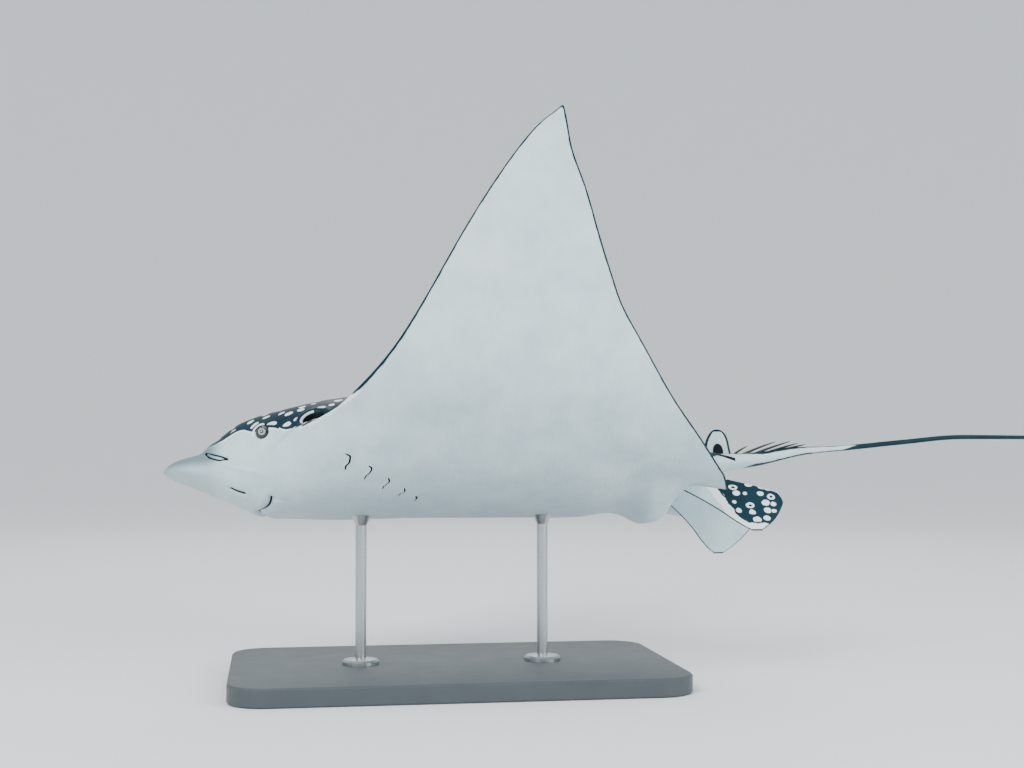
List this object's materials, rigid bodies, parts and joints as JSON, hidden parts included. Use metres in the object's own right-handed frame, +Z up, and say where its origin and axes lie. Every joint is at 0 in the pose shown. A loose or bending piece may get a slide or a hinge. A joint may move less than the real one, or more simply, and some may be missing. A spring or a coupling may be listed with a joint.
{
  "type": "spotted eagle ray model",
  "caption": "Life-size spotted eagle ray swimming with raised wings, banked on a flat base with slim rods, for display.",
  "frame": {"origin": "middle of the underside of the stand's base", "axes": "+X towards the ray's tail (its head points along -X), -Y towards its left side, +Z up"},
  "size_m": [2.7376, 0.7549, 0.9086],
  "materials": {
    "ray_skin": "smooth wet fish skin, blue-black with pale spots above and white below",
    "eye": "glossy eye, dark with a pale ring",
    "sting": "dark bony sting, satin",
    "stand_rod": "satin stainless steel",
    "stand_base": "dark powder coat, fine texture"
  },
  "bodies": {
    "root": {"rostral_lobe": "ray_skin", "head": "ray_skin", "trunk": "ray_skin", "tail_base": "ray_skin", "wing_left": "ray_skin", "wing_right": "ray_skin", "pelvic_fin_left": "ray_skin", "pelvic_fin_right": "ray_skin", "dorsal_fin": "ray_skin", "tail_1": "ray_skin", "tail_2": "ray_skin", "tail_3": "ray_skin", "tail_4": "ray_skin", "eye_left": "eye", "eye_right": "eye", "sting_1": "sting", "sting_2": "sting", "sting_3": "sting", "sting_4": "sting", "sting_5": "sting", "stand_base": "stand_base", "stand_rod_front": "stand_rod", "stand_rod_rear": "stand_rod"}
  },
  "joints": []
}
